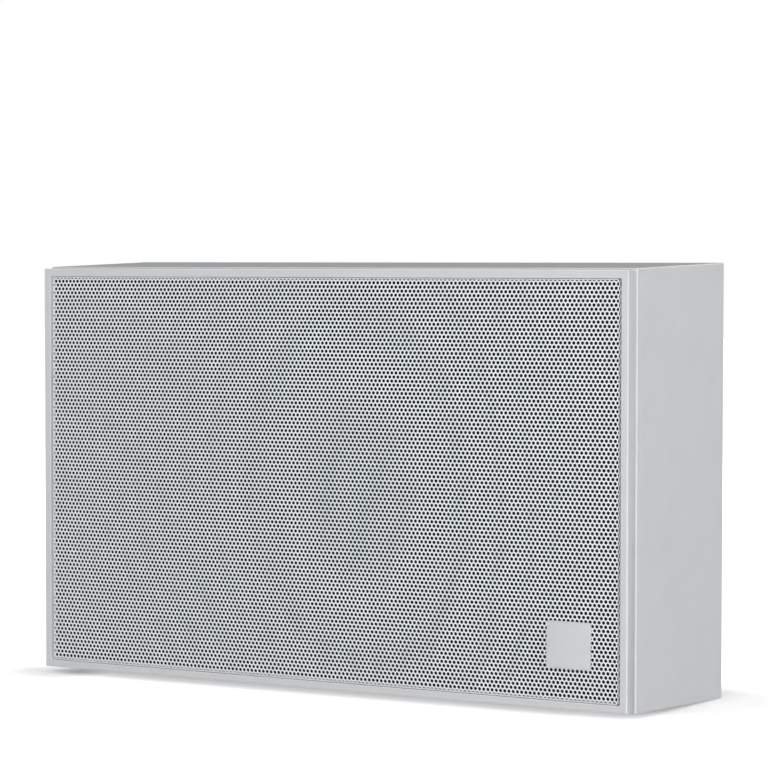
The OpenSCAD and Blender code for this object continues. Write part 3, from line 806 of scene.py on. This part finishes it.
def split_sheet(ob, sizes):
    """Parts the sheet into four panels between rows of holes."""
    panels = []
    for name, row in PANEL_ENDS.items():
        top = (row - 0.5) * row_step(sizes) - ROW_SHIFT
        edit(ob, "FACE", face_middles(ob)[:, 2] < top)
        bpy.ops.mesh.separate(type="SELECTED")
        done()
        panel = next(o for o in bpy.context.selected_objects if o is not ob)
        panel.name = panel.data.name = name
        panels.append(panel)
    ob.name = ob.data.name = "grille_panel_4"
    return panels + [ob]


def grille_lip(sizes):
    """The rest of the folded rim, with the six tabs that hold the grille."""
    overlap = 0.1 * MM
    front = SHEET_FACE + sizes.fold + sizes.lip - overlap
    half = blank_half(sizes)
    bpy.ops.mesh.primitive_plane_add(size=1, rotation=UPRIGHT,
                                     location=(-sizes.play, front, -sizes.drop / 2))
    bpy.context.object.scale = (2 * half[0], 2 * half[1], 1)
    lip = named("grille_lip")
    edit(lip)
    bpy.ops.mesh.bevel(offset=sizes.corner, affect="VERTICES", segments=4)
    for x in TAB_PLACES:
        for side in (-TAB_HALF, TAB_HALF):
            cut(lip, (x + side, 0, 0), (1, 0, 0))
    bpy.ops.mesh.select_all(action="SELECT")
    bpy.ops.mesh.dissolve_limited(angle_limit=0.01, delimit=set())
    bpy.ops.mesh.delete(type="ONLY_FACE")
    done()
    edit(lip, "EDGE")
    bpy.ops.mesh.extrude_region_move(TRANSFORM_OT_translate={"value": (0, LIP_BACK - front, 0)})
    done()
    a, b = edge_ends(lip)
    mid = (a + b) / 2
    on_tab = np.zeros(len(mid), bool)
    for x in TAB_PLACES:
        wide = np.abs(a[:, 0] - b[:, 0]) > 1.75 * TAB_HALF
        on_tab |= wide & (np.abs(mid[:, 0] - x) < TAB_HALF / 4)
    on_tab &= (mid[:, 1] > LIP_BACK - 0.1 * MM) & (np.abs(mid[:, 2]) > GRILLE_HIGH.z - 0.3 * MM)
    edit(lip, "EDGE", on_tab)
    bpy.ops.mesh.extrude_region_move(TRANSFORM_OT_translate={"value": (0, TAB_END - LIP_BACK, 0)})
    bpy.ops.mesh.select_all(action="SELECT")
    bpy.ops.mesh.normals_make_consistent(inside=False)
    done()
    modify(lip, "SOLIDIFY", thickness=sizes.sheet, offset=-1, use_even_offset=True)
    return smooth(lip)


class WALLSPEAKER_OT_grille(bpy.types.Operator):
    """Punch, trim, fold and bow the perforated steel grille"""

    bl_idname = "wallspeaker.grille"
    bl_label = "Perforated Grille"

    def execute(self, context):
        sizes = context.scene.wall_speaker_sizes
        sheet = punched_sheet(sizes)
        trim_sheet(sheet, sizes)
        press_sheet(sheet, sizes)
        for ob in split_sheet(sheet, sizes):
            modify(ob, "SOLIDIFY", thickness=sizes.sheet, offset=-1, use_even_offset=True)
            smooth(ob)
            self.finish_piece(ob)
        self.finish_piece(grille_lip(sizes))
        return {"FINISHED"}

    def finish_piece(self, ob):
        dress(ob, "grille_steel")
        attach(ob, CABINET)
        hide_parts("grille")


class WALLSPEAKER_OT_cloth(bpy.types.Operator):
    """Stretch the acoustic cloth over the back of the grille"""

    bl_idname = "wallspeaker.cloth"
    bl_label = "Acoustic Cloth"

    def execute(self, context):
        sizes = context.scene.wall_speaker_sizes
        width, height = CLOTH_HIGH.x - CLOTH_LOW.x, CLOTH_HIGH.z - CLOTH_LOW.z
        gap, thickness = 0.05 * MM, 0.5 * MM
        bpy.ops.mesh.primitive_grid_add(x_subdivisions=72, y_subdivisions=44, size=1,
                                        rotation=UPRIGHT, location=(0, CLOTH_LOW.y + gap, 0))
        bpy.context.object.scale = (width, height, 1)
        cloth = named("acoustic_cloth")
        co = points(cloth)
        co[:, 1] -= bow_at(sizes, co[:, 0], co[:, 2])
        put(cloth, co)
        modify(cloth, "SOLIDIFY", thickness=thickness, offset=-1)
        smooth(cloth, 60)
        dress(cloth, "cloth")
        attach(cloth, CABINET)
        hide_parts("grille_cloth")
        return {"FINISHED"}


class WALLSPEAKER_OT_badge(bpy.types.Operator):
    """Model the small square plate on the grille, with its two pins"""

    bl_idname = "wallspeaker.badge"
    bl_label = "Badge"

    def execute(self, context):
        sizes = context.scene.wall_speaker_sizes
        middle = (BADGE_LOW + BADGE_HIGH) / 2
        size = BADGE_HIGH - BADGE_LOW
        proud = SHEET_FACE - BADGE_LOW.y
        bpy.ops.mesh.primitive_cube_add(size=1, location=(0, -proud / 2, 0))
        bpy.context.object.scale = (size.x, proud, size.z)
        badge = named("badge_plate")
        a, b = edge_ends(badge)
        edit(badge, "EDGE", np.abs(a[:, 1] - b[:, 1]) > proud / 2)
        bpy.ops.mesh.bevel(offset=BADGE_CORNER, segments=5)
        done()
        a, b = edge_ends(badge)
        edit(badge, "EDGE", (a[:, 1] < -0.9 * proud) & (b[:, 1] < -0.9 * proud))
        bpy.ops.mesh.bevel(offset=sizes.badge_edge, segments=3)
        done()
        for x in PIN_PLACES:
            bpy.ops.mesh.primitive_cylinder_add(vertices=24, radius=PIN_RADIUS, depth=PIN_LENGTH,
                                                rotation=UPRIGHT, location=(x, PIN_MIDDLE, 0))
            pin = named("badge_pin")
            modify(badge, "BOOLEAN", operation="UNION", object=pin, solver="EXACT")
            bpy.data.objects.remove(pin)
        step = 1 * MM
        here = bow_at(sizes, middle.x, middle.z)
        lean_x = (bow_at(sizes, middle.x + step, middle.z) - here) / step
        lean_z = (bow_at(sizes, middle.x, middle.z + step) - here) / step
        badge.rotation_euler = (-math.atan(lean_z), BADGE_TURN, -math.atan(lean_x))
        badge.location = (middle.x - sizes.play, SHEET_FACE - here, middle.z)
        only(badge)
        bpy.ops.object.transform_apply(location=True, rotation=True)
        smooth(badge)
        dress(badge, "badge_plastic")
        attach(badge, CABINET)
        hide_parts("badge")
        return {"FINISHED"}


class WALLSPEAKER_OT_mouldings(bpy.types.Operator):
    """Smooth the housing and the front frame, and break the frame's sharp inner edge"""

    bl_idname = "wallspeaker.mouldings"
    bl_label = "Housing and Frame"

    def execute(self, context):
        sizes = context.scene.wall_speaker_sizes
        for node in ("rear_housing", "front_frame"):
            ob = copy_of(node)
            flatten_top_edge(ob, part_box(node)[0].y)
            if node == "front_frame":
                self.lower_opening(ob, sizes.drop)
                self.break_rim(ob, sizes.opening_edge)
            smooth(ob)
            modify(ob, "WEIGHTED_NORMAL", keep_sharp=True, weight=90)
            # marks the rounded edges for the finish's painted highlight
            mark_edge_highlight_and_gloss(ob)
            dress(ob, "housing_plastic")
            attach(ob, CABINET)
            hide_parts(node)
        return {"FINISHED"}

    def lower_opening(self, ob, drop):
        """Moves the lower edge of the frame's opening down."""
        co = points(ob)
        at_bottom = np.abs(co[:, 2] - OPENING_BOTTOM) < 0.1 * MM
        co[at_bottom & (np.abs(co[:, 0]) < OPENING_HALF[0]), 2] -= drop
        put(ob, co)

    def break_rim(self, ob, rounding):
        """Rounds the sharp edge round the frame's opening."""
        ends = edge_ends(ob)
        on_rim = np.ones(len(ends[0]), bool)
        for end in ends:
            on_rim &= np.abs(end[:, 0]) < OPENING_HALF[0]
            on_rim &= np.abs(end[:, 2]) < OPENING_HALF[1]
            on_rim &= end[:, 1] < RIM_FRONT
        edit(ob, "EDGE", on_rim)
        bpy.ops.mesh.bevel(offset=rounding, segments=2)
        done()


class WALLSPEAKER_OT_wadding(bpy.types.Operator):
    """Model the soft damping pad inside the housing"""

    bl_idname = "wallspeaker.wadding"
    bl_label = "Damping Pad"

    def execute(self, context):
        middle = (PAD_LOW + PAD_HIGH) / 2
        size = PAD_HIGH - PAD_LOW
        swell = (4 * MM, 3 * MM, 4 * MM)
        corner, lump_size, lump_height = 5 * MM, 14 * MM, 3 * MM
        bpy.ops.mesh.primitive_cube_add(size=1, location=middle)
        bpy.context.object.scale = [full - less for full, less in zip(size, swell)]
        pad = named("wadding_pad")
        edit(pad)
        bpy.ops.mesh.bevel(offset=corner, segments=2)
        bpy.ops.mesh.select_all(action="SELECT")
        bpy.ops.mesh.subdivide(number_cuts=5)
        done()
        modify(pad, "SUBSURF", levels=2, render_levels=2)
        lumps = bpy.data.textures.new("wadding_lumps", "CLOUDS")
        lumps.noise_scale = lump_size
        modify(pad, "DISPLACE", texture=lumps, texture_coords="LOCAL", strength=lump_height,
               mid_level=0.6)
        smooth(pad, 80)
        dress(pad, "wadding")
        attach(pad, CABINET)
        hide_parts("damping_pad")
        return {"FINISHED"}


class WALLSPEAKER_OT_soft_parts(bpy.types.Operator):
    """Smooth the parts that bend as the cone travels"""

    bl_idname = "wallspeaker.soft_parts"
    bl_label = "Surround, Spider and Leads"

    def execute(self, context):
        for node, (fixed, moving) in BENDS.items():
            ob = smooth(copy_of(node), 50)
            dress(ob, slot_of(node))
            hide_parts(node)
            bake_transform(ob)
        return {"FINISHED"}


class WALLSPEAKER_OT_drive_unit(bpy.types.Operator):
    """Smooth the round parts of the driver and break the edges of its metal ones"""

    bl_idname = "wallspeaker.drive_unit"
    bl_label = "Drive Unit"

    def execute(self, context):
        sizes = context.scene.wall_speaker_sizes
        moving = ("cone", "whizzer_cone", "dust_cap", "coil_former", "coil_winding")
        metal = ("top_plate", "magnet", "yoke")
        still = ("driver_basket", "driver_gasket", "cable_grommet")
        for node in moving + metal + still:
            ob = copy_of(node)
            if node in metal:
                modify(ob, "BEVEL", width=sizes.metal_edge, segments=2, limit_method="ANGLE",
                       angle_limit=math.radians(40))
            smooth(ob)
            dress(ob, slot_of(node))
            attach(ob, COIL if node in moving else CABINET)
            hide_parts(node)
        return {"FINISHED"}


class WALLSPEAKER_OT_finishes(bpy.types.Operator):
    """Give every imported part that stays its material"""

    bl_idname = "wallspeaker.finishes"
    bl_label = "Finishes of the Packed Parts"

    def execute(self, context):
        for node, ob in frame["nodes"].items():
            dress(ob, slot_of(node))
        return {"FINISHED"}


class WALLSPEAKER_OT_stage(bpy.types.Operator):
    """Set up the floor, the soft lights and the camera"""

    bl_idname = "wallspeaker.stage"
    bl_label = "Studio"

    def execute(self, context):
        self.floor(context)
        self.world(context)
        for lamp in LAMPS:
            self.lamp(context, *lamp)
        self.camera(context)
        context.scene.view_settings.view_transform = "Standard"
        return {"FINISHED"}

    def camera(self, context):
        data = bpy.data.cameras.new("camera")
        data.lens = CAMERA_LENS
        data.sensor_width = CAMERA_SENSOR
        camera = bpy.data.objects.new("camera", data)
        camera.location = CAMERA_PLACE
        camera.rotation_euler = [math.radians(a) for a in CAMERA_TURN]
        context.scene.collection.objects.link(camera)
        context.scene.camera = camera

    def floor(self, context):
        colours = context.scene.wall_speaker_colours
        bpy.ops.mesh.primitive_plane_add(size=FLOOR_SIZE,
                                         location=(0, 0, CAD_BOX[0][2] - FLOOR_GAP))
        floor = named("floor")
        f = Finish("floor", colours.floor, 0.9)
        f.tint(f.noise(8, 2), 0.99, 1.0)
        f.shader.inputs["Emission Color"].default_value = WHITE
        seen = white_rays(f.tree)
        glow = seen
        # painted shadow: the glow that keeps the floor white is lowered in boxes round the object
        for middle, half, reach, amount in FLOOR_SHADES:
            less = f.add("ShaderNodeMath", operation="MULTIPLY_ADD", use_clamp=True)
            less.inputs[1].default_value = -amount
            f.link(f.near(middle, half, reach), less.inputs[0])
            f.link(glow, less.inputs[2])
            glow = less.outputs[0]
        f.link(f.combine("MULTIPLY", glow, seen), f.shader.inputs["Emission Strength"])
        floor.data.materials.append(f.material)

    def world(self, context):
        world = bpy.data.worlds.new("studio")
        world.use_nodes = True
        tree = world.node_tree
        seen = tree.nodes["Background"]
        seen.inputs["Color"].default_value = WHITE
        soft = tree.nodes.new("ShaderNodeBackground")
        soft.inputs["Color"].default_value = SOFT_TINT
        soft.inputs["Strength"].default_value = SOFT_LIGHT
        mix = tree.nodes.new("ShaderNodeMixShader")
        tree.links.new(white_rays(tree), mix.inputs[0])
        tree.links.new(soft.outputs[0], mix.inputs[1])
        tree.links.new(seen.outputs[0], mix.inputs[2])
        tree.links.new(mix.outputs[0], tree.nodes["World Output"].inputs["Surface"])
        context.scene.world = world

    def lamp(self, context, name, place, target, size, power):
        data = bpy.data.lights.new(name, "AREA")
        data.shape = "DISK"
        data.size = size
        data.energy = power
        lamp = bpy.data.objects.new(name, data)
        lamp.location = place
        aim = Vector(target) - Vector(place)
        lamp.rotation_euler = aim.to_track_quat("-Z", "Y").to_euler()
        context.scene.collection.objects.link(lamp)


class WALLSPEAKER_PT_sidebar(bpy.types.Panel):
    """Sizes, colours and steps of the wall speaker"""

    bl_label = "Wall Speaker"
    bl_space_type = "VIEW_3D"
    bl_region_type = "UI"
    bl_category = "Speaker"

    def draw(self, context):
        for group in (context.scene.wall_speaker_sizes, context.scene.wall_speaker_colours):
            column = self.layout.column(align=True)
            for name in group.__annotations__:
                column.prop(group, name)
        for step in STEPS:
            self.layout.operator(step.bl_idname)


STEPS = (
    WALLSPEAKER_OT_finishes,
    WALLSPEAKER_OT_grille,
    WALLSPEAKER_OT_cloth,
    WALLSPEAKER_OT_badge,
    WALLSPEAKER_OT_mouldings,
    WALLSPEAKER_OT_wadding,
    WALLSPEAKER_OT_soft_parts,
    WALLSPEAKER_OT_drive_unit,
    WALLSPEAKER_OT_stage,
)
CLASSES = (WallSpeakerSizes, WallSpeakerColours, *STEPS, WALLSPEAKER_PT_sidebar)


def register():
    for cls in CLASSES:
        bpy.utils.register_class(cls)
    bpy.types.Scene.wall_speaker_sizes = PointerProperty(type=WallSpeakerSizes)
    bpy.types.Scene.wall_speaker_colours = PointerProperty(type=WallSpeakerColours)


def unregister():
    del bpy.types.Scene.wall_speaker_colours
    del bpy.types.Scene.wall_speaker_sizes
    for cls in reversed(CLASSES):
        bpy.utils.unregister_class(cls)


def main():
    register()
    make_finishes(bpy.context.scene.wall_speaker_colours)
    for step in STEPS:
        group, name = step.bl_idname.split(".")
        getattr(getattr(bpy.ops, group), name)()


if __name__ == "__main__":
    main()
